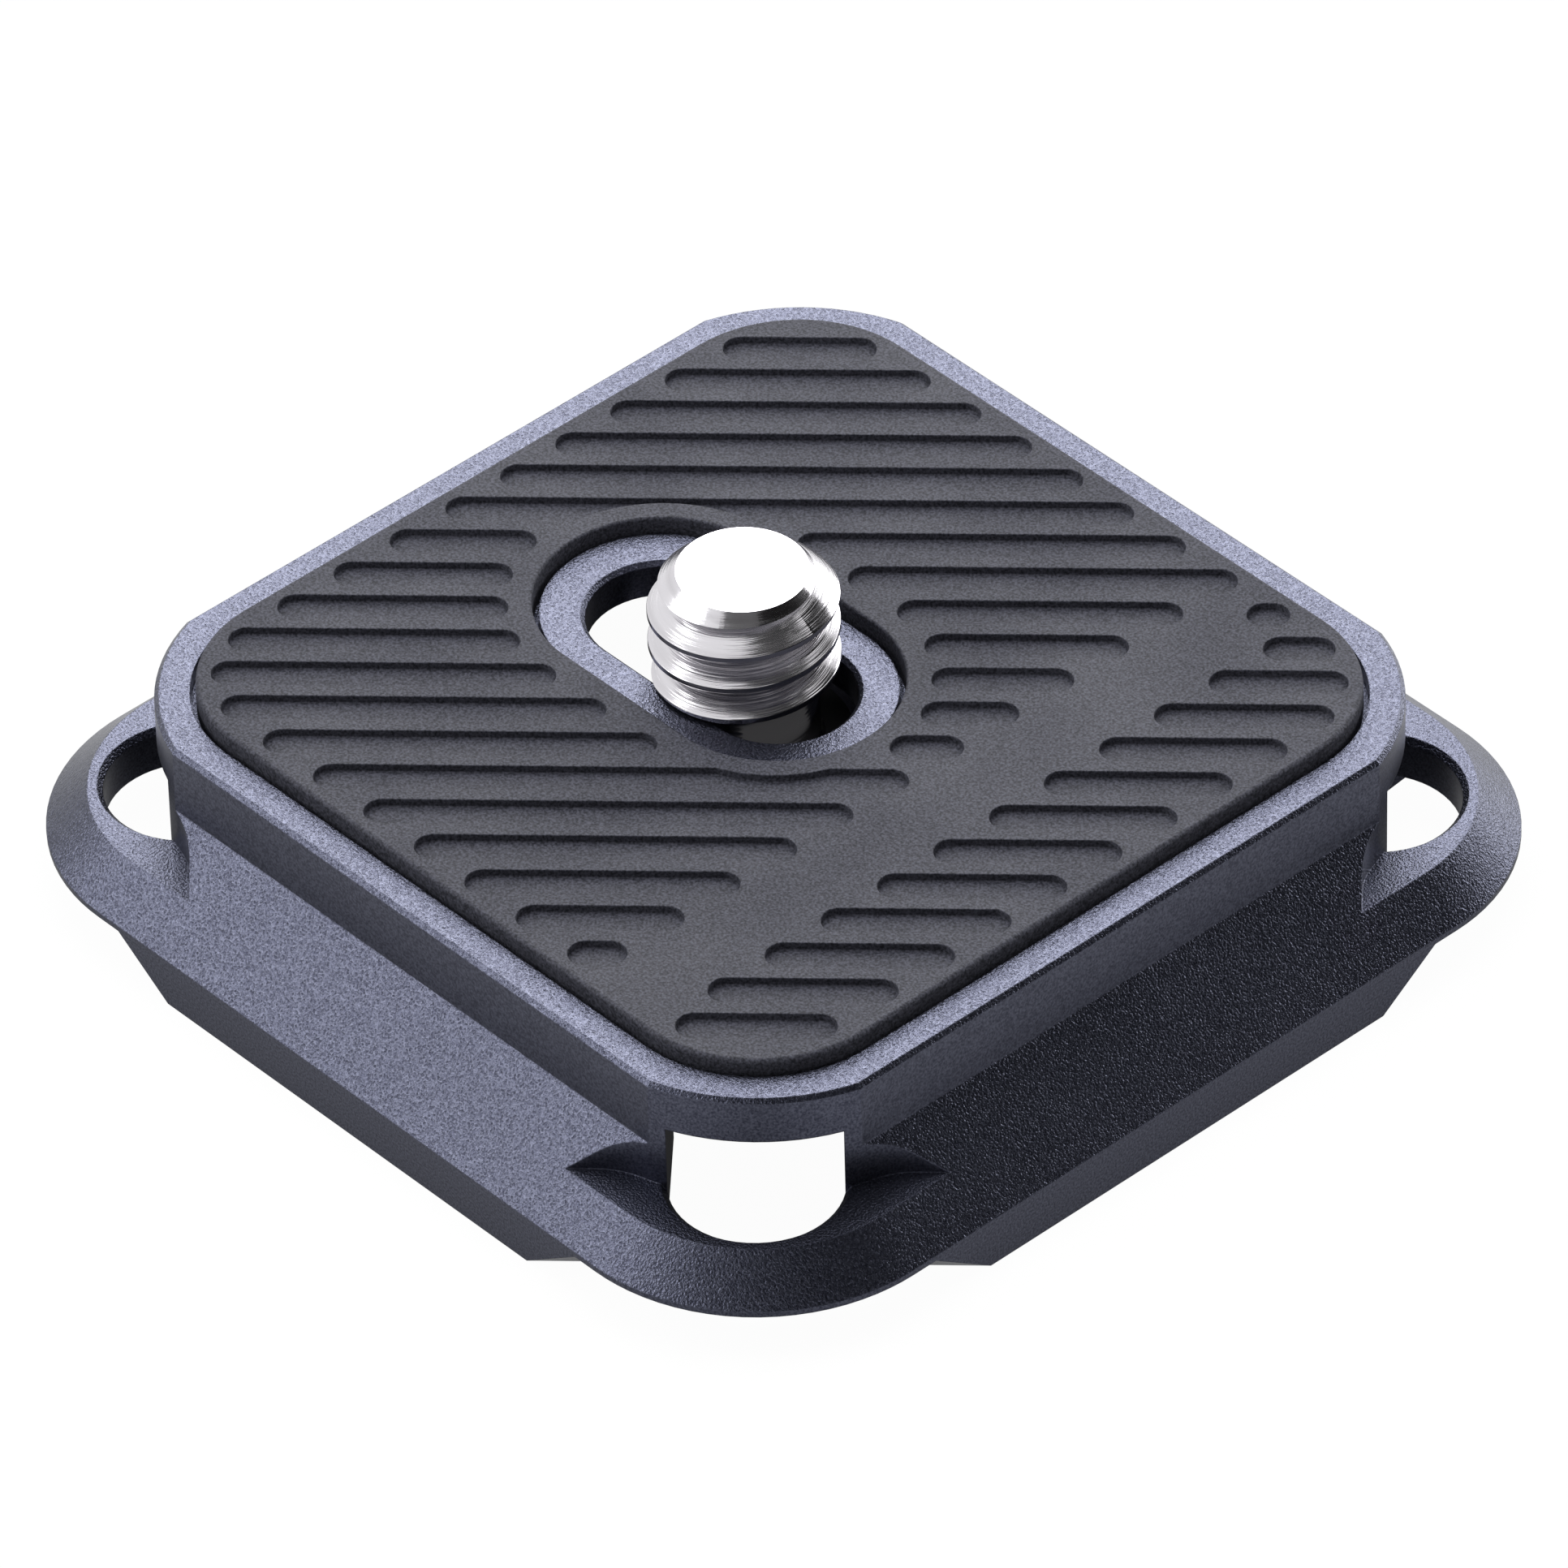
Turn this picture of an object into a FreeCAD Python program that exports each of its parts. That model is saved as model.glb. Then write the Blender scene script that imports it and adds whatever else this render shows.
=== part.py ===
import FreeCAD, Part
import math
import os

# Quick release plate for a camera, in millimetres, +Z up, sole on z = 0.
# X runs along the screw slot and Y across it; the origin is the middle of the square plate.

V = FreeCAD.Vector
UP = V(0, 0, 1)

# Base with the dovetail flanks that a clamp grips
plate_width = 38.0
base_corner_radius = 7.05
base_edge_height = 1.85
dovetail_height = 2.95
plate_height = 7.3
edge_break = 0.15

# Square slab above the dovetail; its corner arcs cut the straight sides at a shallow angle
slab_corner_radius = 7.3
slab_corner_inset = 6.95

# Corner ears with a strap eyelet, measured in from the ear's tip along the diagonal
ear_floor = 3.25
ear_underside = 1.65
ear_step_inset = 5.12
ear_step_round = 3.0
sole_inset = 4.4
eyelet_width = 5.64
eyelet_rim = 1.9
eyelet_roof = 1.1
eyelet_edge = 0.2
keyhole_inset = 11.15
keyhole_radius = 3.9

# Recess for the rubber pad, and the raised ring round the screw slot
rim_width = 1.17
recess_corner_radius = 4.9
recess_depth = 0.6
ring_left = -5.73
ring_right = 0.0
ring_diameter = 7.8
slot_width = 5.1
slot_left = -5.53
slot_right = 0.05

# Hollow in the underside where the head of the screw runs
channel_end_wall = 5.3
channel_width = 15.4
channel_corner_radius = 3.1
web_thickness = 0.75

# Rubber pad and its bars
pad_gap = 0.2
pad_proud = 0.5
pad_edge_radius = 0.3
pad_ring_gap = 0.22
groove_pitch = 1.7155
groove_rows = 21
groove_width = 1.2
groove_depth = 0.28
groove_margin = 1.07
groove_ring_clear = 1.6
groove_ring_trim = 1.0
band_inset = 4.47
band_width = 3.9
band_end_margin = 1.22

# Camera screw, 1/4 inch, and the washer on its head
screw_x = -1.6
screw_proud = 3.55
thread_diameter = 6.25
thread_lift = 0.05
thread_runout = 0.4
start_diameter = 4.34
neck_play = 0.15
head_diameter = 9.1
head_bottom = 1.0
head_height = 2.9
head_bevel = 0.3
socket_across_flats = 4.0
socket_depth = 2.0
washer_diameter = 7.0
washer_play = 0.15
washer_thickness = 0.6

# Places that follow from the sizes above
half = plate_width / 2
slab_half = half - dovetail_height
slab_bottom = base_edge_height + dovetail_height
slab_corner_centre = slab_half - slab_corner_inset
ear_tip = (half - base_corner_radius) * math.sqrt(2) + base_corner_radius
recess_half = slab_half - rim_width
recess_floor = plate_height - recess_depth
channel_ceiling = recess_floor - web_thickness
eyelet_ceiling = recess_floor - eyelet_roof
slot_radius = slot_width / 2
ring_radius = ring_diameter / 2
pad_half = recess_half - pad_gap
pad_corner_radius = recess_corner_radius - pad_gap
pad_top = plate_height + pad_proud
overshoot = 1.0


def rounded_block(half_x, half_y, radius, low, high):
    """Upright block with rounded corners, centred on the origin."""
    block = Part.makeBox(2 * half_x, 2 * half_y, high - low, V(-half_x, -half_y, low))
    upright = [e for e in block.Edges if abs(e.tangentAt(e.FirstParameter).z) > 0.9]
    return block.makeFillet(radius, upright)


def rounded_bar(start, end, radius, low, high):
    """Upright bar with semicircular ends; start and end are the centres of the ends."""
    a = V(start[0], start[1], low)
    b = V(end[0], end[1], low)
    along = (b - a).normalize()
    side = UP.cross(along) * radius
    edges = [
        Part.LineSegment(a - side, b - side).toShape(),
        Part.Arc(b - side, b + along * radius, b + side).toShape(),
        Part.LineSegment(b + side, a + side).toShape(),
        Part.Arc(a + side, a - along * radius, a - side).toShape(),
    ]
    return Part.Face(Part.Wire(edges)).extrude(V(0, 0, high - low))


def mitred_bar(start, end, radius, low, high):
    """The same bar with its ends mitred in three flats, for the many small grooves."""
    a = V(start[0], start[1], low)
    b = V(end[0], end[1], low)
    along = (b - a).normalize() * radius
    side = UP.cross(along)
    flat = math.tan(math.pi / 8)
    points = [
        a - side - along * flat,
        b - side + along * flat,
        b - side * flat + along,
        b + side * flat + along,
        b + side + along * flat,
        a + side - along * flat,
        a + side * flat - along,
        a - side * flat - along,
    ]
    return Part.Face(Part.makePolygon(points + points[:1])).extrude(V(0, 0, high - low))


def flat_edges(shape, z):
    """Edges that lie level at height z."""
    return [e for e in shape.Edges if abs(e.BoundBox.ZMin - z) < 1e-4 and abs(e.BoundBox.ZMax - z) < 1e-4]


def each_corner(tool):
    """The same tool, drawn along +X, turned to the four corners."""
    turned = []
    for quarter in range(4):
        copy = tool.copy()
        copy.rotate(V(0, 0, 0), UP, 45 + 90 * quarter)
        turned.append(copy)
    return turned


# Plate: base and slab
base = rounded_block(half, half, base_corner_radius, 0, slab_bottom)
base = base.makeChamfer(dovetail_height, flat_edges(base, slab_bottom))

slab_reach = slab_corner_centre + slab_corner_radius
slab = rounded_block(slab_reach, slab_reach, slab_corner_radius, ear_floor, plate_height)
sides = Part.makeBox(2 * slab_half, 2 * slab_half, plate_height, V(-slab_half, -slab_half, 0))
slab = slab.common(sides)
plate_body = base.fuse(slab)

# Ear: a floor stepped down outside the slab's corner, round where an end mill turned, and a sole
# that slopes up under it
diagonal_centre = slab_corner_centre * math.sqrt(2)
slab_corner = Part.makeCylinder(slab_corner_radius, plate_height, V(diagonal_centre, 0, 0))
step = Part.makeBox(half, plate_width, plate_height, V(ear_tip - ear_step_inset, -half, ear_floor))
step = step.cut(slab_corner)
turns = [e for e in step.Edges if e.BoundBox.ZLength > 1 and abs(e.BoundBox.YMin) < slab_corner_radius]
step = step.makeFillet(ear_step_round, turns)

sole_end = ear_tip - sole_inset
relief_outline = [
    V(sole_end - overshoot, -half, -overshoot),
    V(sole_end + ear_underside, -half, ear_underside),
    V(ear_tip + overshoot, -half, ear_underside),
    V(ear_tip + overshoot, -half, -overshoot),
    V(sole_end - overshoot, -half, -overshoot),
]
relief = Part.Face(Part.makePolygon(relief_outline)).extrude(V(0, plate_width, 0))

# Eyelet: a slot out along the diagonal, with a softened mouth; the keyhole is wider, and its lower
# part runs out under the ear
eyelet_radius = eyelet_width / 2
eyelet_inner = (ear_tip - keyhole_inset, 0)
eyelet_outer = (ear_tip - eyelet_rim - eyelet_radius, 0)
eyelet = rounded_bar(eyelet_inner, eyelet_outer, eyelet_radius, -overshoot, eyelet_ceiling)
keyhole = Part.makeCylinder(keyhole_radius, eyelet_ceiling + overshoot, V(eyelet_inner[0], 0, -overshoot))
underpass = rounded_bar(eyelet_inner, (ear_tip, 0), keyhole_radius, -overshoot, ear_underside)
mouth = rounded_bar(eyelet_inner, eyelet_outer, eyelet_radius + eyelet_edge, ear_floor - eyelet_edge, ear_floor)
mouth = mouth.makeChamfer(eyelet_edge * 0.999, flat_edges(mouth, ear_floor - eyelet_edge))
mouth = mouth.cut(slab_corner)

for tool in (step, relief, eyelet, keyhole, underpass, mouth):
    for turned in each_corner(tool):
        plate_body = plate_body.cut(turned)

# Underside channel, screw slot and pad recess; the recess is cut last, so its edges stay crisp
channel_half = half - channel_end_wall
channel = rounded_block(channel_half, channel_width / 2, channel_corner_radius, -overshoot, channel_ceiling)
above = plate_height + overshoot
ring_ends = ((ring_left, 0), (ring_right, 0))
slot_ends = ((slot_left, 0), (slot_right, 0))
recess = rounded_block(recess_half, recess_half, recess_corner_radius, recess_floor, above)
ring = rounded_bar(*ring_ends, ring_radius, recess_floor, above)
slot = rounded_bar(*slot_ends, slot_radius, 0, above)
plate_body = plate_body.cut(channel)
plate_body = plate_body.cut(slot)
plate_body = plate_body.makeChamfer(edge_break, flat_edges(plate_body, plate_height))
plate_body = plate_body.cut(recess.cut(ring))

# Rubber pad: rounded sheet with an opening round the ring
pad_opening = rounded_bar(*ring_ends, ring_radius + pad_ring_gap, 0, pad_top)
rubber_pad = rounded_block(pad_half, pad_half, pad_corner_radius, recess_floor, pad_top)
rubber_pad = rubber_pad.cut(pad_opening)
rubber_pad = rubber_pad.makeFillet(pad_edge_radius, flat_edges(rubber_pad, pad_top))

# Grooves run along the diagonal, clear of the edge, of the ring and of a plain band
groove_floor = pad_top - groove_depth
groove_radius = groove_width / 2
field_half = pad_half - groove_margin
field = rounded_block(field_half, field_half, pad_corner_radius - groove_margin, 0, pad_top)
band_corner = V(pad_half - band_inset - band_width, -pad_half, 0)
band = Part.makeBox(band_width, 2 * pad_half - band_end_margin, pad_top, band_corner)
field = field.cut(band)
ring_edge = rounded_bar(*ring_ends, ring_radius, 0, pad_top)
ring_zone = rounded_bar(*ring_ends, ring_radius + groove_ring_clear, 0, pad_top)
ring_trim = rounded_bar(*ring_ends, ring_radius + groove_ring_trim, 0, pad_top + overshoot)

along = V(1, 1, 0).normalize() * plate_width
across = V(-1, 1, 0).normalize() * groove_pitch
grooves = []
for row in range(groove_rows):
    middle = across * (row - (groove_rows - 1) / 2) + V(0, 0, groove_floor)
    line = Part.LineSegment(middle - along, middle + along).toShape()
    run = line.common(field)
    if line.common(ring_edge).Edges:
        run = run.cut(ring_zone)
    for piece in run.Edges:
        start = piece.Vertexes[0].Point
        end = piece.Vertexes[-1].Point
        groove = mitred_bar(start, end, groove_radius, groove_floor, pad_top + overshoot)
        grooves.append(groove.cut(ring_trim))
rubber_pad = rubber_pad.cut(grooves)

# Camera screw: head under the web, plain neck through the slot, threaded end above
head_top = head_bottom + head_height
screw_top = pad_top + screw_proud
thread_bottom = plate_height + thread_lift
neck_radius = slot_radius - neck_play
thread_radius = thread_diameter / 2
start_radius = start_diameter / 2
head_radius = head_diameter / 2
profile = [
    V(0, 0, head_bottom),
    V(head_radius - head_bevel, 0, head_bottom),
    V(head_radius, 0, head_bottom + head_bevel),
    V(head_radius, 0, head_top - head_bevel),
    V(head_radius - head_bevel, 0, head_top),
    V(neck_radius, 0, head_top),
    V(neck_radius, 0, thread_bottom),
    V(thread_radius, 0, thread_bottom + thread_runout),
    V(thread_radius, 0, screw_top - (thread_radius - start_radius)),
    V(start_radius, 0, screw_top),
    V(0, 0, screw_top),
    V(0, 0, head_bottom),
]
camera_screw = Part.Face(Part.makePolygon(profile)).revolve(V(0, 0, 0), UP, 360)
socket_corner_radius = socket_across_flats / math.sqrt(3)
hexagon = []
for corner in range(7):
    turn = math.radians(60 * corner)
    hexagon.append(V(socket_corner_radius * math.cos(turn), socket_corner_radius * math.sin(turn), 0))
socket = Part.Face(Part.makePolygon(hexagon)).extrude(V(0, 0, head_bottom + socket_depth))
camera_screw = camera_screw.cut(socket)
camera_screw.translate(V(screw_x, 0, 0))

# Washer on the screw's head, loose round its neck
washer_place = V(screw_x, 0, head_top)
screw_washer = Part.makeCylinder(washer_diameter / 2, washer_thickness, washer_place)
washer_hole = Part.makeCylinder(neck_radius + washer_play, washer_thickness, washer_place)
screw_washer = screw_washer.cut(washer_hole)

nodes = {
    "plate_body": plate_body,
    "rubber_pad": rubber_pad,
    "camera_screw": camera_screw,
    "screw_washer": screw_washer,
}
os.makedirs("parts", exist_ok=True)
for name, shape in nodes.items():
    solid = shape.removeSplitter()
    if len(solid.Solids) == 1:
        solid = solid.Solids[0]
    print(name, "solids", len(solid.Solids), "valid", solid.isValid(), "volume", round(solid.Volume, 2))
    solid.exportStep("parts/" + name + ".step")
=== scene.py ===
# %% [markdown]
# # A quick release plate for a camera
#
# The real object is a small square plate of blasted and anodised aluminium, 38 mm wide. A camera
# stands on its ribbed rubber pad and is drawn down by a quarter inch screw, which slides in a slot
# and is turned with a key from below. Each corner has an ear with an eyelet for a strap.
#
# The construction comes from a CAD model, which this script loads as a fixed frame, so each piece
# lands in its real place with no fitting. The script then models what the eye sees up close: the
# soft moulded grooves of the pad, the cut thread, and the finish of each surface.

# %% Load the frame
import math

import bmesh
import bpy
from mathutils import Matrix, Vector


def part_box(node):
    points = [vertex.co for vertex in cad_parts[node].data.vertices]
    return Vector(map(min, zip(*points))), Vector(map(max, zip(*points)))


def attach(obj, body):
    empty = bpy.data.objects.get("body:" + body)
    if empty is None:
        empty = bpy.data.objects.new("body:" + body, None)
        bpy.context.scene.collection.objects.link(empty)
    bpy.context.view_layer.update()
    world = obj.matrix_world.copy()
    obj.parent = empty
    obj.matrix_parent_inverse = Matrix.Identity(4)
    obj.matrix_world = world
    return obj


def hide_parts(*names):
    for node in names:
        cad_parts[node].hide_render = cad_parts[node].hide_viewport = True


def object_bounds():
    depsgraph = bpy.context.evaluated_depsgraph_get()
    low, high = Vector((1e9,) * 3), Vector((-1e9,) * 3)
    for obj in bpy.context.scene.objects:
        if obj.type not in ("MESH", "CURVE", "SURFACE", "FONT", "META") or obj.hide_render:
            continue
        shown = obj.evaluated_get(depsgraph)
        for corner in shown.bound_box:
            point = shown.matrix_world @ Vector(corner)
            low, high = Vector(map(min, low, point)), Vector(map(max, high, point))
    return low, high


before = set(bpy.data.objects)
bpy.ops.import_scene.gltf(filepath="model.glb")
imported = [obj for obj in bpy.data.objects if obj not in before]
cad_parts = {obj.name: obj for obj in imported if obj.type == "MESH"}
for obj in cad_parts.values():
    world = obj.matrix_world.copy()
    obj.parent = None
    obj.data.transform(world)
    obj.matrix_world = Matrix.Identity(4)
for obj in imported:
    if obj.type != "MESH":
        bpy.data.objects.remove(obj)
cad_low, cad_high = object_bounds()
bpy.ops.object.select_all(action="DESELECT")
MM = 0.001
cad_size = [round(side / MM, 2) for side in cad_high - cad_low]
print("nodes:", sorted(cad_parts), "box in mm:", cad_size)

# %% [markdown]
# ## The camera
#
# The photograph looks down on one corner through a long lens. The view's bearing, height and roll
# were worked out from the plate's own corners, and so was the distance: with a square plate of a
# known width, the way its far edges shrink gives the distance, and its size then gives the lens.
# The camera is placed first, since it decides which details are worth their faces.

# %% Place the camera
view_bearing = math.radians(48.32)
view_height = math.radians(39.80)
view_roll = math.radians(-1.583)
view_distance = 473.07 * MM
view_lens = 335.6
sensor_width = 36.0
nearest_seen = 0.01
farthest_seen = 10
aim_height = 3.6 * MM
aim_right = 0.082 * MM
aim_up = -0.195 * MM

level_ahead = Vector((-math.sin(view_bearing), math.cos(view_bearing), 0))
ahead = level_ahead * math.cos(view_height) - Vector((0, 0, math.sin(view_height)))
level_right = Vector((math.cos(view_bearing), math.sin(view_bearing), 0))
level_up = level_right.cross(ahead)
right = level_right * math.cos(view_roll) + level_up * math.sin(view_roll)
up = level_up * math.cos(view_roll) - level_right * math.sin(view_roll)
aim = Vector((0, 0, aim_height)) + level_right * aim_right + level_up * aim_up

bpy.ops.object.camera_add(location=aim - ahead * view_distance)
camera = bpy.context.object
camera.name = "photo_camera"
camera.rotation_euler = Matrix((right, up, -ahead)).transposed().to_euler()
camera.data.sensor_width = sensor_width
camera.data.lens = view_lens
camera.data.clip_start = nearest_seen
camera.data.clip_end = farthest_seen
bpy.context.scene.camera = camera
print("camera at mm:", [round(c / MM, 1) for c in camera.location])

# %% [markdown]
# ## Helpers for modelling
#
# The pieces are modelled as by hand: a primitive is added, some of it is picked by its place, and
# an operator works on what is picked. These helpers only save repeating the clicks. An operator
# works on all that is selected, so each helper first selects just what it is meant for.

# %% Helpers that select and edit


def only(piece):
    """Makes the piece the one selected and active object."""
    bpy.ops.object.select_all(action="DESELECT")
    piece.select_set(True)
    bpy.context.view_layer.objects.active = piece


def begin_edit(piece):
    """Opens the piece in edit mode."""
    only(piece)
    bpy.ops.object.mode_set(mode="EDIT")


def end_edit():
    """Back to object mode."""
    bpy.ops.object.mode_set(mode="OBJECT")


def pick(piece, kind, test):
    """In edit mode, selects the vertices, edges or faces that pass the test, and nothing else."""
    mode = {"verts": "VERT", "edges": "EDGE", "faces": "FACE"}[kind]
    bpy.ops.mesh.select_mode(type=mode)
    bpy.ops.mesh.select_all(action="DESELECT")
    mesh = bmesh.from_edit_mesh(piece.data)
    picked = [part for part in getattr(mesh, kind) if test(part)]
    for part in picked:
        part.select_set(True)
    mesh.select_flush_mode()
    bmesh.update_edit_mesh(piece.data)
    return len(picked)


def settle(piece, name):
    """Names the piece and puts its place into its mesh, so that its object stays at the origin."""
    only(piece)
    bpy.ops.object.transform_apply(location=True, rotation=True, scale=True)
    piece.name = name
    piece.data.name = name
    return piece


# %% Helpers that apply modifiers


def apply_modifier(piece, kind, **settings):
    """Adds a modifier with these settings and applies it."""
    only(piece)
    bpy.ops.object.modifier_add(type=kind)
    modifier = piece.modifiers[-1]
    for setting, value in settings.items():
        setattr(modifier, setting, value)
    bpy.ops.object.modifier_apply(modifier=modifier.name)


def combine(piece, tool, operation):
    """Cuts, joins or intersects the piece with the tool, which is used up."""
    apply_modifier(piece, "BOOLEAN", operation=operation, solver="EXACT", object=tool)
    bpy.data.objects.remove(tool)


def smooth_shade(piece, sharpest):
    """Shades as round what turns by less than an angle in degrees, with the large faces flat."""
    only(piece)
    bpy.ops.object.shade_smooth_by_angle(angle=math.radians(sharpest))
    apply_modifier(piece, "WEIGHTED_NORMAL", keep_sharp=True)


def triangles_of(piece):
    """How many triangles the piece has."""
    piece.data.calc_loop_triangles()
    return len(piece.data.loop_triangles)


# %% [markdown]
# ## The rubber pad
#
# The pad is one moulded sheet, glued into a recess. Its edge is rounded, an opening leaves room
# for the raised ring, and long shallow grooves with round ends run across it at 45 degrees.
#
# Grooves could be bump in the material, but bump has no depth at a glancing view and none in the
# exported mesh. So they are cut, as the pad's mould was: a block with bevelled corners, then one
# round-ended cutter, copied and drawn out for each groove. The block takes its size from the CAD.

# %% The block of the pad
pad_low, pad_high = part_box("rubber_pad")
pad_half = pad_high.x
pad_top = pad_high.z
pad_bottom = pad_low.z
pad_corner_radius = 4.7 * MM
corner_steps = 24

pad_middle = (pad_top + pad_bottom) / 2
pad_size = (2 * pad_half, 2 * pad_half, pad_top - pad_bottom)
bpy.ops.mesh.primitive_cube_add(size=1, location=(0, 0, pad_middle), scale=pad_size)
pad = settle(bpy.context.object, "ribbed_pad")


def stands_upright(edge):
    """True for an edge whose rise is nearly its whole length."""
    a, b = edge.verts
    return abs(a.co.z - b.co.z) > (a.co - b.co).length * 0.99


begin_edit(pad)
pick(pad, "edges", stands_upright)
bpy.ops.mesh.bevel(offset=pad_corner_radius, segments=corner_steps, affect="EDGES")
end_edit()
print("pad block:", triangles_of(pad), "triangles")

# %% [markdown]
# Moulded rubber has no sharp edge. The rim of the top face is picked by its height and by its
# faces, of which at least one falls away, and gets a small bevel of a few steps.

# %% Round the rim
pad_edge_radius = 0.15 * MM
rim_steps = 5
hair = 0.001 * MM
steep = 0.5


def on_the_rim(edge):
    """True for the edges where the top face ends."""
    level = all(abs(vertex.co.z - pad_top) < hair for vertex in edge.verts)
    return level and any(abs(face.normal.z) < steep for face in edge.link_faces)


begin_edit(pad)
rim_edges = pick(pad, "edges", on_the_rim)
bpy.ops.mesh.bevel(offset=pad_edge_radius, segments=rim_steps, affect="EDGES")
end_edit()
print("rounded", rim_edges, "edges of the rim")

# %% [markdown]
# The opening and the grooves are all cut with round-ended bars. Such a bar is a cylinder whose
# one half is drawn out. The cylinder is turned by half a step first, so that no vertex lies on
# the dividing line.

# %% A round-ended bar
bar_sides = 96


def upright_cylinder(name, sides, radius, height):
    """Cylinder round the origin, with no vertex at x = 0."""
    bpy.ops.mesh.primitive_cylinder_add(vertices=sides, radius=radius, depth=height)
    cylinder = bpy.context.object
    cylinder.rotation_euler.z = math.pi / sides
    return settle(cylinder, name)


def draw_out(bar, start, end, middle):
    """Draws the bar's far half out to the length from start to end, and moves it there."""
    run = end - start
    begin_edit(bar)
    pick(bar, "verts", lambda vertex: vertex.co.x > 0)
    bpy.ops.transform.translate(value=(run.length, 0, 0))
    end_edit()
    bar.rotation_euler.z = math.atan2(run.y, run.x)
    bar.location = (start.x, start.y, middle)
    settle(bar, bar.name)


def round_ended_bar(start, end, radius, low, high):
    """Upright bar from start to end, which are the centres of its round ends."""
    bar = upright_cylinder("bar", bar_sides, radius, high - low)
    draw_out(bar, start, end, (low + high) / 2)
    return bar


# %% [markdown]
# The ring stands up through the pad with a narrow gap all round, so its opening is one such bar,
# a little wider than the ring. A boolean cuts it out. The new edges of the top face are found by
# how near they are to the ring, and are bevelled like the rim, only less.

# %% Open the pad round the ring
ring_start = Vector((-5.73, 0, 0)) * MM
ring_end = Vector((0, 0, 0))
ring_radius = 3.9 * MM
opening_radius = 4.12 * MM
opening_edge_radius = 0.1 * MM
opening_steps = 3


def ring_distance(place):
    """Distance from the middle line of the ring."""
    nearest = min(max(place.x, ring_start.x), ring_end.x)
    return math.hypot(place.x - nearest, place.y)


def by_the_opening(edge):
    """True for the rim edges round the opening, which are all near the ring."""
    return on_the_rim(edge) and all(ring_distance(v.co) < 2 * ring_radius for v in edge.verts)


opening = round_ended_bar(ring_start, ring_end, opening_radius, pad_bottom - MM, pad_top + MM)
combine(pad, opening, "DIFFERENCE")
begin_edit(pad)
opening_edges = pick(pad, "edges", by_the_opening)
bpy.ops.mesh.bevel(offset=opening_edge_radius, segments=opening_steps, affect="EDGES")
end_edit()
print("rounded", opening_edges, "edges of the opening;", triangles_of(pad), "triangles")

# %% [markdown]
# The grooves could be listed one by one, but they follow a rule: they keep a margin from the edge
# and from the ring, and one plain band crosses them all. The rule is tested at closely spaced
# places along each row. A row runs along the diagonal; its end centres have to lie inside the
# margin, outside the band and clear of the ring. A row that only passes close by the ring runs on
# past it, and is trimmed to a curve instead.

# %% Where the grooves run
groove_pitch = 1.7155 * MM
groove_rows = 21
field_half = 13.6 * MM
field_corner = 3.65 * MM
ring_clearance = 5.5 * MM
band_left = 6.3 * MM
band_right = 10.2 * MM
band_end = 13.45 * MM
step = 0.02 * MM
steps_each_way = 1000
along_row = Vector((1, 1, 0)).normalized()
across_rows = Vector((-1, 1, 0)).normalized()


def in_field(place):
    """True inside the rounded square that the groove ends may reach."""
    dx = max(abs(place.x) - (field_half - field_corner), 0)
    dy = max(abs(place.y) - (field_half - field_corner), 0)
    return math.hypot(dx, dy) <= field_corner


def runs_in_row(row):
    """The stretches of one row, each as its first and last place."""
    middle = across_rows * (row - (groove_rows - 1) / 2) * groove_pitch
    places = [middle + along_row * step * k for k in range(-steps_each_way, steps_each_way + 1)]
    crosses_ring = min(ring_distance(place) for place in places) < ring_radius
    runs = []
    open_run = False
    for place in places:
        in_band = band_left < place.x < band_right and place.y < band_end
        keep = in_field(place) and not in_band
        keep = keep and not (crosses_ring and ring_distance(place) < ring_clearance)
        if keep and not open_run:
            runs.append([place, place])
        if keep:
            runs[-1][1] = place
        open_run = keep
    return runs


groove_runs = [run for row in range(groove_rows) for run in runs_in_row(row)]
print(len(groove_runs), "grooves")

# %% [markdown]
# One cutter is modelled, and each groove gets a copy with its own mesh, drawn out to its run. All
# copies are joined, trimmed round the ring, and cut from the pad in one go: one clean cut is
# quicker and safer than dozens. Where it meets the ring's trim the groove then ends in a curve.

# %% Cut the grooves
groove_radius = 0.6 * MM
groove_depth = 0.28 * MM
ring_trim = 4.9 * MM
cutter_sides = 40
least_run = 0.01 * MM

groove_low = pad_top - groove_depth
groove_high = pad_top + MM
groove_middle = (groove_low + groove_high) / 2
cutter = upright_cylinder("groove_cutter", cutter_sides, groove_radius, groove_high - groove_low)

copies = []
for first, last in groove_runs:
    copy = cutter.copy()
    copy.data = cutter.data.copy()
    bpy.context.scene.collection.objects.link(copy)
    draw_out(copy, first, last + along_row * least_run, groove_middle)
    copies.append(copy)
bpy.data.objects.remove(cutter)
only(copies[0])
for copy in copies:
    copy.select_set(True)
bpy.ops.object.join()
cutters = bpy.context.object
trim = round_ended_bar(ring_start, ring_end, ring_trim, groove_low - MM, groove_high + MM)
combine(cutters, trim, "DIFFERENCE")
combine(pad, cutters, "DIFFERENCE")
print("cut pad:", triangles_of(pad), "triangles")

# %% [markdown]
# The mouths and floors of the grooves are soft, as rubber leaves its mould. A Bevel modifier finds
# every edge that turns by more than an angle, so none has to be picked, and the weighted normals
# keep the large faces flat to the light.

# %% Soften the grooves
groove_edge_radius = 0.08 * MM
groove_edge_steps = 3
groove_edge_angle = 40

apply_modifier(
    pad,
    "BEVEL",
    width=groove_edge_radius,
    segments=groove_edge_steps,
    limit_method="ANGLE",
    angle_limit=math.radians(groove_edge_angle),
    use_clamp_overlap=True,
)
smooth_shade(pad, groove_edge_angle)
print("ribbed pad:", triangles_of(pad), "triangles")

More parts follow.
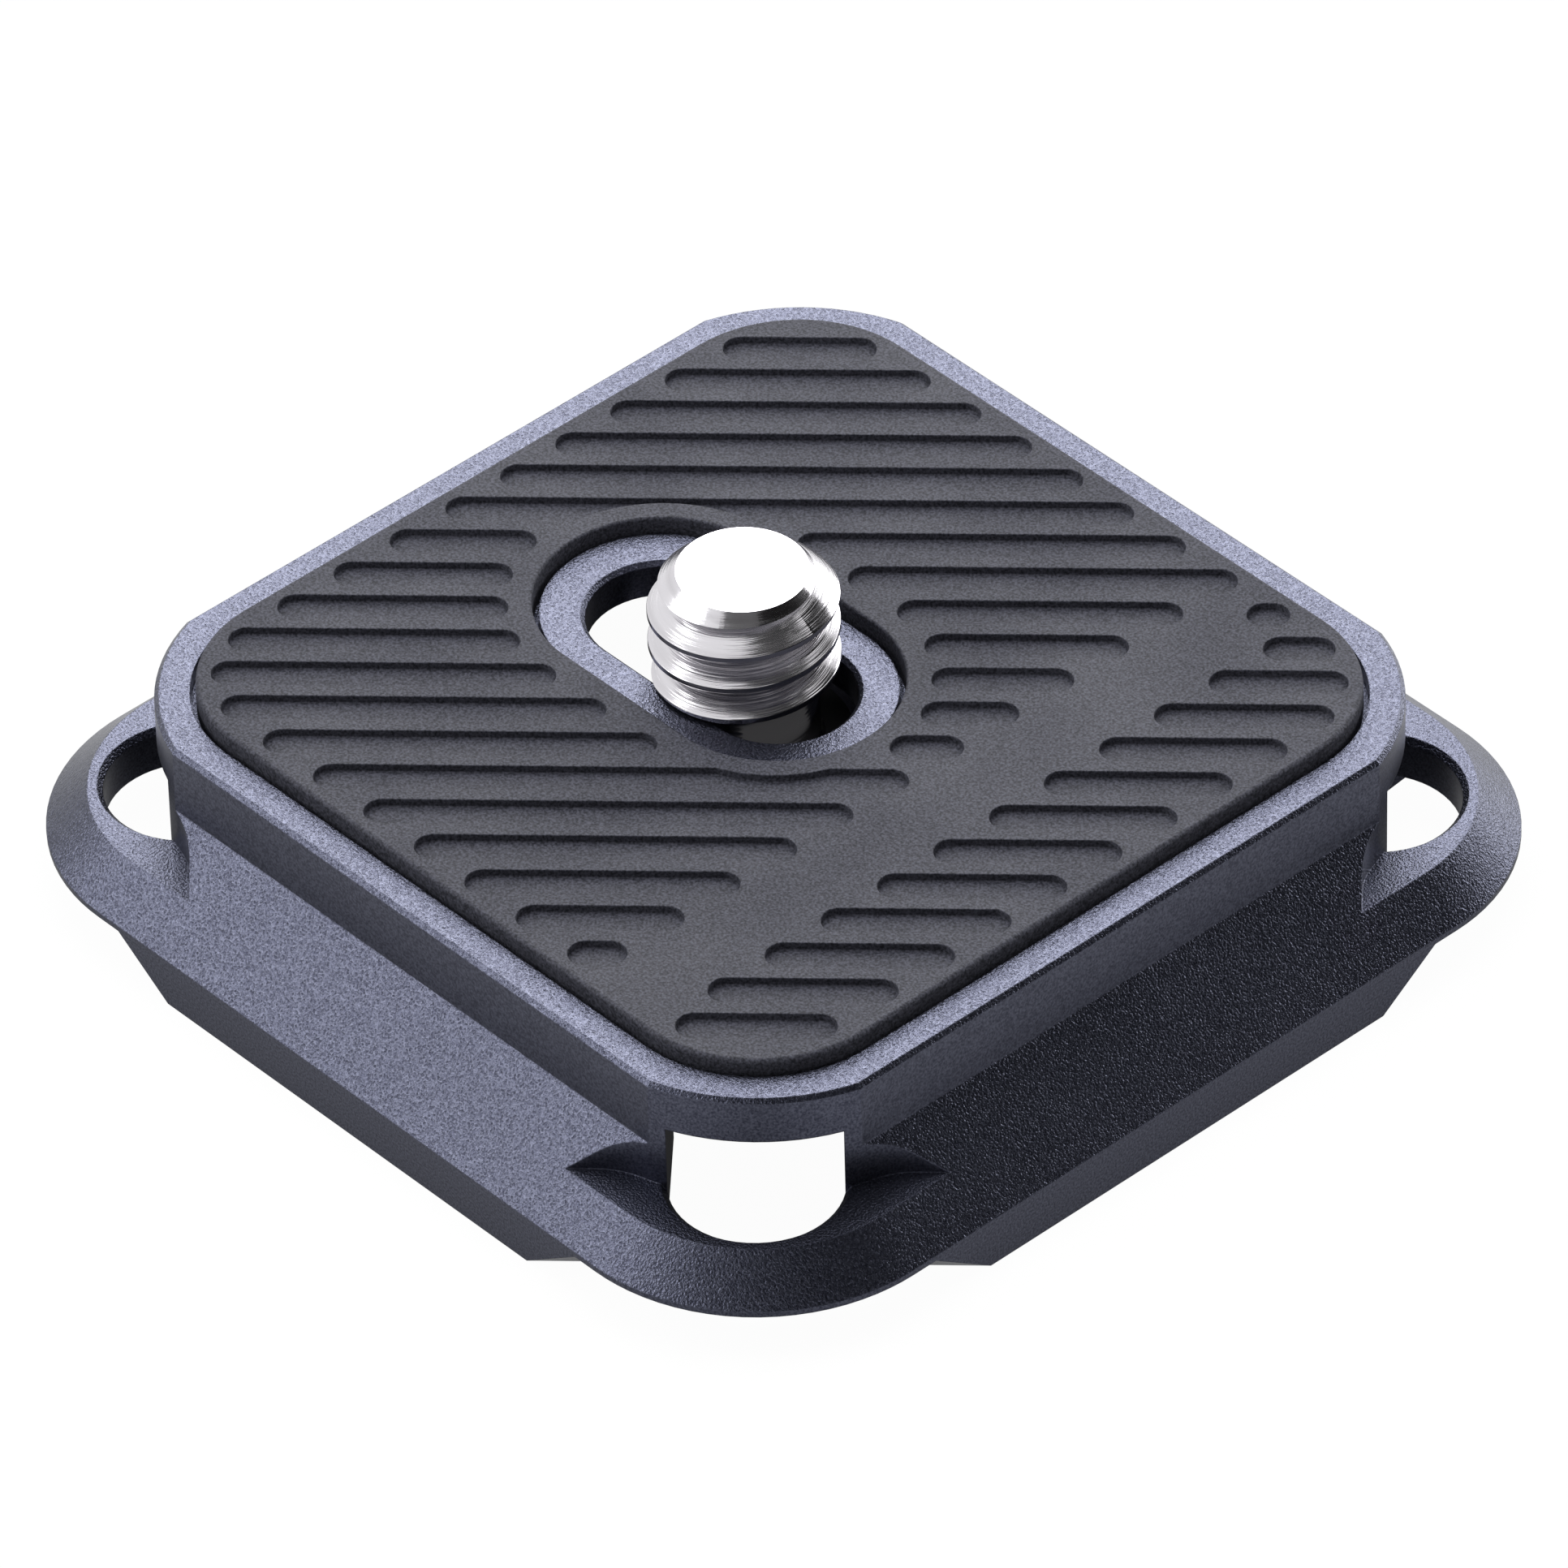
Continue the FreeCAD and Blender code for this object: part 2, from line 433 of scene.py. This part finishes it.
# %% [markdown]
# ## The camera screw
#
# The screw is turned from one bar of stainless steel: a head under the plate, a plain neck, and a
# quarter inch thread of 20 turns to the inch with a chamfered start. A lathe's pieces are made by
# spinning an outline round the axis, so two helpers do what the lathe does. The outline is drawn
# in edit mode, from one vertex that is extruded from corner to corner.

# %% Outline and lathe helpers
screw_low, screw_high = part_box("camera_screw")
screw_x = (screw_low.x + screw_high.x) / 2
screw_top = screw_high.z
head_bottom = screw_low.z
head_radius = (screw_high.x - screw_low.x) / 2
weld_distance = 0.0001 * MM
turning_steps = 96


def outline(name, points):
    """A chain of edges in the XZ plane, drawn out of one vertex, step by step."""
    bpy.ops.mesh.primitive_plane_add(size=MM)
    piece = settle(bpy.context.object, name)
    begin_edit(piece)
    bpy.ops.mesh.merge(type="CENTER")
    bpy.ops.mesh.select_mode(type="VERT")
    bpy.ops.mesh.select_all(action="SELECT")
    here = Vector((points[0][0], 0, points[0][1]))
    bpy.ops.transform.translate(value=here)
    for radius, height in points[1:]:
        there = Vector((radius, 0, height))
        bpy.ops.mesh.extrude_vertices_move(TRANSFORM_OT_translate={"value": there - here})
        here = there
    end_edit()
    return piece


def turned(name, points):
    """A lathe piece: the outline is spun round the Z axis and closed where it meets it."""
    piece = outline(name, points)
    begin_edit(piece)
    bpy.ops.mesh.select_all(action="SELECT")
    bpy.ops.mesh.spin(steps=turning_steps, angle=math.tau, center=(0, 0, 0), axis=(0, 0, 1))
    bpy.ops.mesh.select_all(action="SELECT")
    bpy.ops.mesh.remove_doubles(threshold=weld_distance)
    bpy.ops.mesh.normals_make_consistent(inside=False)
    end_edit()
    return piece


# %% [markdown]
# A thread could be stacked rings, but only a helix runs out on the chamfer as a cut thread does.
# So its outline is one pitch long: a root, a flank that leans by 30 degrees, a narrow crest with
# broken edges, and the other flank. One crest's height was measured in the photograph at one
# bearing, and from it follows where the outline has to start.

# %% The outline of one pitch
pitch = 1.27 * MM
thread_radius = 3.125 * MM
thread_depth = 0.78 * MM
flank_lean = math.tan(math.radians(30))
crest_flat = 0.2 * MM
crest_break = 0.012 * MM
thread_bottom = 7.35 * MM
seen_crest_height = 10.04 * MM
seen_crest_bearing = math.radians(-41.7)

flank = thread_depth * flank_lean
root_flat = pitch - 2 * flank - crest_flat
root_radius = thread_radius - thread_depth
crest_foot = seen_crest_height - pitch * seen_crest_bearing / math.tau
first_crest = crest_foot - pitch * math.floor((crest_foot - thread_bottom) / pitch + 2)
crest_end = first_crest + crest_flat
one_pitch = [
    (root_radius, first_crest - flank - root_flat),
    (root_radius, first_crest - flank),
    (thread_radius - crest_break, first_crest - crest_break * flank_lean),
    (thread_radius, first_crest + crest_break),
    (thread_radius, crest_end - crest_break),
    (thread_radius - crest_break, crest_end + crest_break * flank_lean),
    (root_radius, crest_end + flank),
]
thread = outline("thread", one_pitch)
print("one pitch:", len(one_pitch), "corners, root", round(root_flat / MM, 3), "mm wide")

# %% [markdown]
# The Screw modifier winds the outline upwards, one pitch to the turn. The winding starts and ends
# beyond the part that is needed. Two bisects cut it level and fill the cuts, and so make it a
# closed blank that a boolean can work on.

# %% Wind the thread
turns = 7
steps_per_turn = 120
blank_spare = 0.2 * MM
blank_top = screw_top + blank_spare
blank_bottom = thread_bottom - blank_spare


def cut_level(height, **side):
    """In edit mode, cuts the whole mesh at a height, drops one side and fills the cut."""
    bpy.ops.mesh.select_all(action="SELECT")
    bpy.ops.mesh.bisect(plane_co=(0, 0, height), plane_no=(0, 0, 1), use_fill=True, **side)


apply_modifier(
    thread,
    "SCREW",
    angle=math.tau,
    screw_offset=pitch,
    iterations=turns,
    steps=steps_per_turn,
    render_steps=steps_per_turn,
    use_merge_vertices=False,
    use_smooth_shade=True,
)
begin_edit(thread)
bpy.ops.mesh.select_all(action="SELECT")
bpy.ops.mesh.remove_doubles(threshold=weld_distance)
cut_level(blank_top, clear_outer=True)
cut_level(blank_bottom, clear_inner=True)
bpy.ops.mesh.select_all(action="SELECT")
bpy.ops.mesh.normals_make_consistent(inside=False)
end_edit()
print("thread blank:", triangles_of(thread), "triangles")

# %% [markdown]
# A lathe turns the end first and then cuts the thread into it. Here it is the other way round: the
# blank is cut to the shape of the turned end, which gives the same form, so the thread fades out
# on the chamfer. The shape is a little wider than the thread, so that no two surfaces coincide.

# %% Turn the end
neck_radius = 2.4 * MM
start_radius = 2.17 * MM
shape_radius = thread_radius + 0.1 * MM
chamfer = shape_radius - start_radius
runout = 0.12 * MM

end_shape = turned("end_shape", [
    (0, thread_bottom),
    (neck_radius, thread_bottom),
    (shape_radius, thread_bottom + runout),
    (shape_radius, screw_top - chamfer),
    (start_radius, screw_top),
    (0, screw_top),
])
combine(thread, end_shape, "INTERSECT")
print("threaded end:", triangles_of(thread), "triangles")

# %% [markdown]
# Head and neck are a second outline, spun in the same way. It ends a little inside the threaded
# part, and a boolean joins the two. Two shells that only overlap would look the same, but the real
# screw is one solid, and a closed mesh of it can be measured and printed.

# %% Turn the head and neck
head_top = 3.9 * MM
head_bevel = 0.3 * MM

screw = turned("camera_screw_threaded", [
    (0, head_bottom),
    (head_radius - head_bevel, head_bottom),
    (head_radius, head_bottom + head_bevel),
    (head_radius, head_top - head_bevel),
    (head_radius - head_bevel, head_top),
    (neck_radius, head_top),
    (neck_radius, thread_bottom + runout),
    (0, thread_bottom + runout),
])
combine(screw, thread, "UNION")
print("screw with its thread:", triangles_of(screw), "triangles")

# %% [markdown]
# The key's socket is a hexagon, which is a cylinder of six sides. It is cut from below, and the
# screw then goes to its place in the slot. The shading is smooth round the screw, and the angle
# keeps the chamfer and the flanks of the thread crisp.

# %% Cut the key's socket
socket_flats = 4.0 * MM
socket_depth = 2.0 * MM
socket_radius = socket_flats / math.sqrt(3)
screw_edge_angle = 20

bpy.ops.mesh.primitive_cylinder_add(vertices=6, radius=socket_radius, depth=2 * socket_depth)
socket = bpy.context.object
socket.location.z = head_bottom
settle(socket, "socket")
combine(screw, socket, "DIFFERENCE")
screw.location.x = screw_x
settle(screw, "camera_screw_threaded")
smooth_shade(screw, screw_edge_angle)
print("screw:", triangles_of(screw), "triangles")

# %% [markdown]
# ## Materials
#
# Each finish is one Principled shader, fed by noise. Every pattern reads Object coordinates, so it
# sticks to its piece in any pose. Those are metres and the object is small, so the scales are
# large: a noise of scale 12000 has grains of a little under a tenth of a millimetre.

# %% Node helpers


def feed(tree, socket, value):
    """Joins an output to the socket, or sets the socket to a plain value."""
    if isinstance(value, bpy.types.NodeSocket):
        tree.links.new(value, socket)
    else:
        socket.default_value = value


def maths(tree, operation, *values):
    """The result of a Math node on numbers or outputs."""
    made = tree.nodes.new("ShaderNodeMath")
    made.operation = operation
    for socket, value in zip(made.inputs, values):
        feed(tree, socket, value)
    return made.outputs["Value"]


# %% [markdown]
# A finish is built from a handful of nodes again and again: noise, a stretch of its range, a tint,
# a relief. The class names each of them by what it does. The Mix node has sockets for each kind of
# data under the same names, so those for colours are picked by their number.

# %% What a finish is made of
MIX_FACTOR, MIX_FIRST_COLOUR, MIX_SECOND_COLOUR, MIX_COLOUR_RESULT = 0, 6, 7, 2


class Finish:
    """A material whose nodes are added and joined in one line each."""

    def __init__(self, name):
        self.material = bpy.data.materials.new(name)
        self.material.use_nodes = True
        self.tree = self.material.node_tree
        self.shader = self.tree.nodes["Principled BSDF"]
        self.place = self.node("ShaderNodeTexCoord").outputs["Object"]

    def node(self, kind, **inputs):
        """A node of this kind; a word names an input, and a value is a number or another output."""
        made = self.tree.nodes.new(kind)
        for name, value in inputs.items():
            feed(self.tree, made.inputs[name.replace("_", " ")], value)
        return made

    def surface(self, **inputs):
        """Feeds the shader itself; a word names an input."""
        for name, value in inputs.items():
            feed(self.tree, self.shader.inputs[name.replace("_", " ")], value)

    def grain(self, scale, detail=2.0, roughness=0.5, place=None):
        """Noise of one scale, from 0 to 1."""
        settings = {"Scale": scale, "Detail": detail, "Roughness": roughness}
        made = self.node("ShaderNodeTexNoise", Vector=place or self.place, **settings)
        return made.outputs["Fac"]

    def span(self, value, low, high, start=0.3, end=0.7):
        """Stretches a value between start and end to the range from low to high."""
        limits = {"From_Min": start, "From_Max": end, "To_Min": low, "To_Max": high}
        return self.node("ShaderNodeMapRange", Value=value, **limits).outputs["Result"]

    def tint(self, factor, first, second):
        """A colour between two colours."""
        made = self.tree.nodes.new("ShaderNodeMix")
        made.data_type = "RGBA"
        feed(self.tree, made.inputs[MIX_FACTOR], factor)
        made.inputs[MIX_FIRST_COLOUR].default_value = (*first, 1)
        made.inputs[MIX_SECOND_COLOUR].default_value = (*second, 1)
        return made.outputs[MIX_COLOUR_RESULT]

    def bump(self, height, distance, strength=1.0, normal=None):
        """Small relief; distance is its depth in metres."""
        made = self.node("ShaderNodeBump", Height=height, Strength=strength, Distance=distance)
        if normal:
            feed(self.tree, made.inputs["Normal"], normal)
        return made.outputs["Normal"]

    def rounded(self, radius):
        """Normals as if each sharp edge were rounded a little."""
        made = self.node("ShaderNodeBevel", Radius=radius)
        made.samples = 4
        return made.outputs["Normal"]


# %% [markdown]
# ### Blasted and anodised aluminium
#
# The plate is milled, then blasted with fine beads, and then anodised, which leaves a hard skin of
# dark blue-grey. Up close it is a field of tiny pits, and each shows its own spark or shadow. A
# plain rough metal of that colour would look like paint. So one noise makes both the relief of the
# pits and their tint, and the roughness stays low enough for the sparks.
#
# The upright sides are smoother than the faces that look up, so the relief fades with the slope.
# A Bevel node rounds the sharp edges in the shading only, because the plate keeps its CAD mesh.

# %% Blasted and anodised aluminium


def make_anodised():
    """Dark blue-grey metal: bead blasted where a face looks up or down, and smooth on the sides."""
    finish = Finish("blasted_anodised")
    pits = finish.grain(12000, detail=1.5, roughness=0.6)
    cloud = finish.grain(160, detail=2.0)
    facing = finish.node("ShaderNodeNewGeometry").outputs["True Normal"]
    upward = finish.node("ShaderNodeSeparateXYZ", Vector=facing).outputs["Z"]
    blasted = finish.span(maths(finish.tree, "ABSOLUTE", upward), 0.05, 1.0, start=0.1, end=0.5)
    pit_depth = finish.span(pits, 0.0, 1.0, start=0.32, end=0.68)
    edges = finish.rounded(0.06 * MM)
    finish.surface(
        Base_Color=finish.tint(pit_depth, (0.034, 0.036, 0.055), (0.09, 0.095, 0.13)),
        Metallic=0.92,
        Roughness=finish.span(cloud, 0.27, 0.32),
        Normal=finish.bump(pits, 0.04 * MM, strength=blasted, normal=edges),
    )
    return finish.material


anodised = make_anodised()
print(anodised.name, "has", len(anodised.node_tree.nodes), "nodes")

# %% [markdown]
# ### Moulded rubber
#
# The pad is dense dark rubber with the dull grain of its mould. Black with a little gloss would
# look like plastic. Rubber hardly mirrors, so the specular level is low, and it is the grain that
# shows: a fine noise lightens its high places and raises them, and a broad one varies the sheen.

# %% Moulded rubber


def make_rubber():
    """Dense dark rubber with the dull grain of its mould."""
    finish = Finish("moulded_rubber")
    grain = finish.grain(11000, detail=2.5, roughness=0.6)
    cloud = finish.grain(220, detail=3.0)
    speck = finish.span(grain, 0.0, 1.0, start=0.35, end=0.7)
    finish.surface(
        Base_Color=finish.tint(speck, (0.013, 0.0135, 0.018), (0.06, 0.061, 0.079)),
        Roughness=finish.span(cloud, 0.6, 0.72),
        Specular_IOR_Level=0.16,
        Normal=finish.bump(grain, 0.03 * MM, strength=0.8),
    )
    return finish.material


rubber = make_rubber()
print(rubber.name, "has", len(rubber.node_tree.nodes), "nodes")

# %% [markdown]
# ### Turned steel
#
# The screw is bright stainless steel, and a lathe leaves fine rings on it. Anisotropic gloss would
# smear its highlights but draw no lines, so the rings are drawn by noise. They depend on the
# distance from the axis, and a little on the height, so the noise is fed those two numbers in
# place of a point in space. The height is scaled down: a flank climbs as it goes round, and with
# the full height its rings would break into short dashes.

# %% Turned steel


def make_steel(axis_x):
    """Bright stainless steel with the rings that the lathe's tool leaves."""
    finish = Finish("turned_steel")
    centred = finish.node("ShaderNodeMapping", Vector=finish.place, Location=(-axis_x, 0, 0))
    split = finish.node("ShaderNodeSeparateXYZ", Vector=centred.outputs["Vector"])
    flat = finish.node("ShaderNodeCombineXYZ", X=split.outputs["X"], Y=split.outputs["Y"])
    radius = finish.node("ShaderNodeVectorMath", Vector=flat.outputs["Vector"])
    radius.operation = "LENGTH"
    height = maths(finish.tree, "MULTIPLY", split.outputs["Z"], 0.15)
    rings = finish.node("ShaderNodeCombineXYZ", X=radius.outputs["Value"], Y=height)
    marks = finish.grain(14000, detail=2.0, roughness=0.6, place=rings.outputs["Vector"])
    broad = finish.grain(3500, detail=1.0, place=rings.outputs["Vector"])
    finish.surface(
        Base_Color=finish.tint(broad, (0.55, 0.535, 0.56), (0.77, 0.755, 0.79)),
        Metallic=1.0,
        Roughness=finish.span(marks, 0.1, 0.22),
        Normal=finish.bump(marks, 0.014 * MM),
    )
    return finish.material


steel = make_steel(screw_x)
print(steel.name, "has", len(steel.node_tree.nodes), "nodes")

# %% [markdown]
# ### Black nylon
#
# The washer is a thin ring of black nylon, of which only the rim shows through the slot. A finish
# with as many layers as the plate's would never be seen. One soft noise is enough: it mottles the
# colour and the gloss a little, since no real surface is quite even.

# %% Black nylon


def make_washer():
    """Black nylon, faintly mottled."""
    finish = Finish("black_nylon")
    cloud = finish.grain(1500, detail=3.0)
    finish.surface(
        Base_Color=finish.tint(cloud, (0.012, 0.012, 0.013), (0.03, 0.03, 0.032)),
        Roughness=finish.span(cloud, 0.4, 0.55),
        Normal=finish.bump(cloud, 0.01 * MM, strength=0.3),
    )
    return finish.material


washer_black = make_washer()
print(washer_black.name, "has", len(washer_black.node_tree.nodes), "nodes")

# %% [markdown]
# ## Dress the pieces
#
# The plate and the washer keep their CAD shape and get their finish. The pad and the screw take
# the place of plainer solids, and each rides on the body that carries it: when the joint slides or
# turns the screw, its thread goes with it.

# %% Finishes and bodies


def dress(piece, material):
    """Gives the piece this one material."""
    piece.data.materials.clear()
    piece.data.materials.append(material)


dress(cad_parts["plate_body"], anodised)
dress(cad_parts["screw_washer"], washer_black)
dress(pad, rubber)
dress(screw, steel)

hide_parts("rubber_pad")
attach(pad, "plate")
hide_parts("camera_screw")
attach(screw, "screw")

# %% [markdown]
# ## Studio
#
# The plate lies on white ground under soft light. Strong lamps would make the ground white too,
# but they would wash out the dark metal. So the white is the ground's own: it glows where the
# camera sees it, directly or mirrored, and is plain matte to all other light. A small share stays
# matte for the camera as well, and keeps the object's shadow. Right under the plate the glow that
# the metal mirrors is painted dark: a painted shadow where little light would fall.

# %% White ground
ground_size = 3.0
ground_gap = 0.02 * MM
ground_glow = 0.97
ground_matte = (0.8, 0.8, 0.8, 1)
# Painted shadow: how brightly the ground glows in reflections right under the plate, and where that
# fades back to full.
painted_shadow_level = 0.05
painted_shadow_ends = 14 * MM
open_ground_begins = 25 * MM


def seen_or_mirrored(tree, path):
    """1 for a camera, glossy or transmission ray, else 0."""
    seen = maths(tree, "MAXIMUM", path.outputs["Is Camera Ray"], path.outputs["Is Glossy Ray"])
    return maths(tree, "MAXIMUM", seen, path.outputs["Is Transmission Ray"])


def painted_shadow_in_reflections(tree, path):
    """1 for the camera; in reflections a painted shadow makes it fall away below the plate."""
    place = tree.nodes.new("ShaderNodeTexCoord")
    split = tree.nodes.new("ShaderNodeSeparateXYZ")
    tree.links.new(place.outputs["Object"], split.inputs[0])
    sides = [maths(tree, "ABSOLUTE", split.outputs[axis]) for axis in ("X", "Y")]
    fade = tree.nodes.new("ShaderNodeMapRange")
    fade.inputs["From Min"].default_value = painted_shadow_ends
    fade.inputs["From Max"].default_value = open_ground_begins
    fade.inputs["To Min"].default_value = painted_shadow_level
    tree.links.new(maths(tree, "MAXIMUM", *sides), fade.inputs["Value"])
    return maths(tree, "MAXIMUM", fade.outputs["Result"], path.outputs["Is Camera Ray"])


def white_ground():
    """Ground that is white to the camera and keeps a trace of the object's shadow."""
    material = bpy.data.materials.new("white_ground")
    material.use_nodes = True
    tree = material.node_tree
    tree.nodes.clear()
    path = tree.nodes.new("ShaderNodeLightPath")
    matte = tree.nodes.new("ShaderNodeBsdfDiffuse")
    matte.inputs["Color"].default_value = ground_matte
    glow = tree.nodes.new("ShaderNodeEmission")
    tree.links.new(painted_shadow_in_reflections(tree, path), glow.inputs["Strength"])
    share = maths(tree, "MULTIPLY", seen_or_mirrored(tree, path), ground_glow)
    mix = tree.nodes.new("ShaderNodeMixShader")
    tree.links.new(share, mix.inputs[0])
    tree.links.new(matte.outputs[0], mix.inputs[1])
    tree.links.new(glow.outputs[0], mix.inputs[2])
    out = tree.nodes.new("ShaderNodeOutputMaterial")
    tree.links.new(mix.outputs[0], out.inputs[0])
    return material


bpy.ops.mesh.primitive_plane_add(size=ground_size, location=(0, 0, -ground_gap))
ground = settle(bpy.context.object, "ground")
dress(ground, white_ground())
print("ground:", ground_size, "m wide")

# %% [markdown]
# The world round the plate works in the same way: it is white where it is seen or mirrored, and
# only a soft fill as a light.

# %% World
world_light = 0.45

world = bpy.data.worlds.new("studio")
bpy.context.scene.world = world
world.use_nodes = True
sky = world.node_tree
background = sky.nodes["Background"]
rays = seen_or_mirrored(sky, sky.nodes.new("ShaderNodeLightPath"))
level = sky.nodes.new("ShaderNodeMapRange")
level.inputs["To Min"].default_value = world_light
level.inputs["To Max"].default_value = 1.0
sky.links.new(rays, level.inputs["Value"])
sky.links.new(level.outputs["Result"], background.inputs["Strength"])
background.inputs["Color"].default_value = (1, 1, 1, 1)
print("world:", world_light, "as a light")

# %% [markdown]
# Metal has little colour of its own: it shows what stands round it. In even light every face of
# the plate would look the same, so each gets something of its own to mirror. The box behind the
# plate shows in its level faces, the box on the left in its left flank, and the low box on the
# right in the flank of the right ear. The first is left out of the diffuse light, or it would
# bleach the rubber, which is lit from overhead by a box that nothing mirrors.

# %% Soft boxes


def aimed(thing, toward, distance):
    """Stands an object off in a direction, facing the plate."""
    direction = Vector(toward).normalized()
    thing.location = direction * distance
    thing.rotation_euler = direction.to_track_quat("Z", "Y").to_euler()


def soft_box(name, toward, distance, width, height, watts):
    """A soft rectangular lamp."""
    bpy.ops.object.light_add(type="AREA")
    lamp = bpy.context.object
    lamp.name = name
    lamp.data.shape = "RECTANGLE"
    lamp.data.size = width
    lamp.data.size_y = height
    lamp.data.energy = watts
    aimed(lamp, toward, distance)
    print(name, watts, "W")
    return lamp


behind = soft_box("back_soft_box", (-0.57, 0.51, 0.64), 0.32, 0.26, 0.26, 1.35)
behind.visible_diffuse = False
overhead = soft_box("overhead_soft_box", (-0.15, 0.13, 0.98), 0.4, 0.36, 0.36, 1.8)
overhead.visible_glossy = False
soft_box("left_soft_box", (-0.57, -0.64, 0.51), 0.32, 0.2, 0.2, 0.56)
soft_box("right_low_soft_box", (0.09, 0.98, 0.2), 0.4, 0.34, 0.24, 1.3)

# %% [markdown]
# A face that should stay dark needs something dark to mirror. A black card on the right does it
# for the right flank, and dark grey ones for the near ear and for the thread's upper flanks, which
# give the steel its contrast. A real card would also shade the light, so these show in reflections
# only.

# %% Dark cards
card_black = (0.01, 0.01, 0.01, 1)


def dark_card(name, toward, distance, width, height, grey=0.0):
    """A card that only shows in reflections, black or as bright as grey says."""
    bpy.ops.mesh.primitive_plane_add(size=1)
    card = bpy.context.object
    card.scale = (width, height, 1)
    aimed(card, toward, distance)
    settle(card, name)
    card.visible_camera = False
    card.visible_diffuse = False
    card.visible_shadow = False
    card.visible_transmission = False
    paper = bpy.data.materials.new(name)
    paper.use_nodes = True
    shader = paper.node_tree.nodes["Principled BSDF"]
    shader.inputs["Base Color"].default_value = card_black
    shader.inputs["Specular IOR Level"].default_value = 0
    shader.inputs["Emission Color"].default_value = (grey, grey, grey, 1)
    shader.inputs["Emission Strength"].default_value = 1
    dress(card, paper)
    print(name, "grey", grey)
    return card


dark_card("right_card", (0.74, 0.4, 0.52), 0.16, 0.27, 0.18)
dark_card("front_card", (0.54, -0.4, 0.74), 0.2, 0.19, 0.2, grey=0.13)
dark_card("top_card", (0.22, 0.07, 0.97), 0.22, 0.14, 0.1, grey=0.05)

# %% [markdown]
# ## Finish
#
# The Standard view shows each colour as it is, so that white stays white.

# %% Finish
bpy.context.scene.view_settings.view_transform = "Standard"
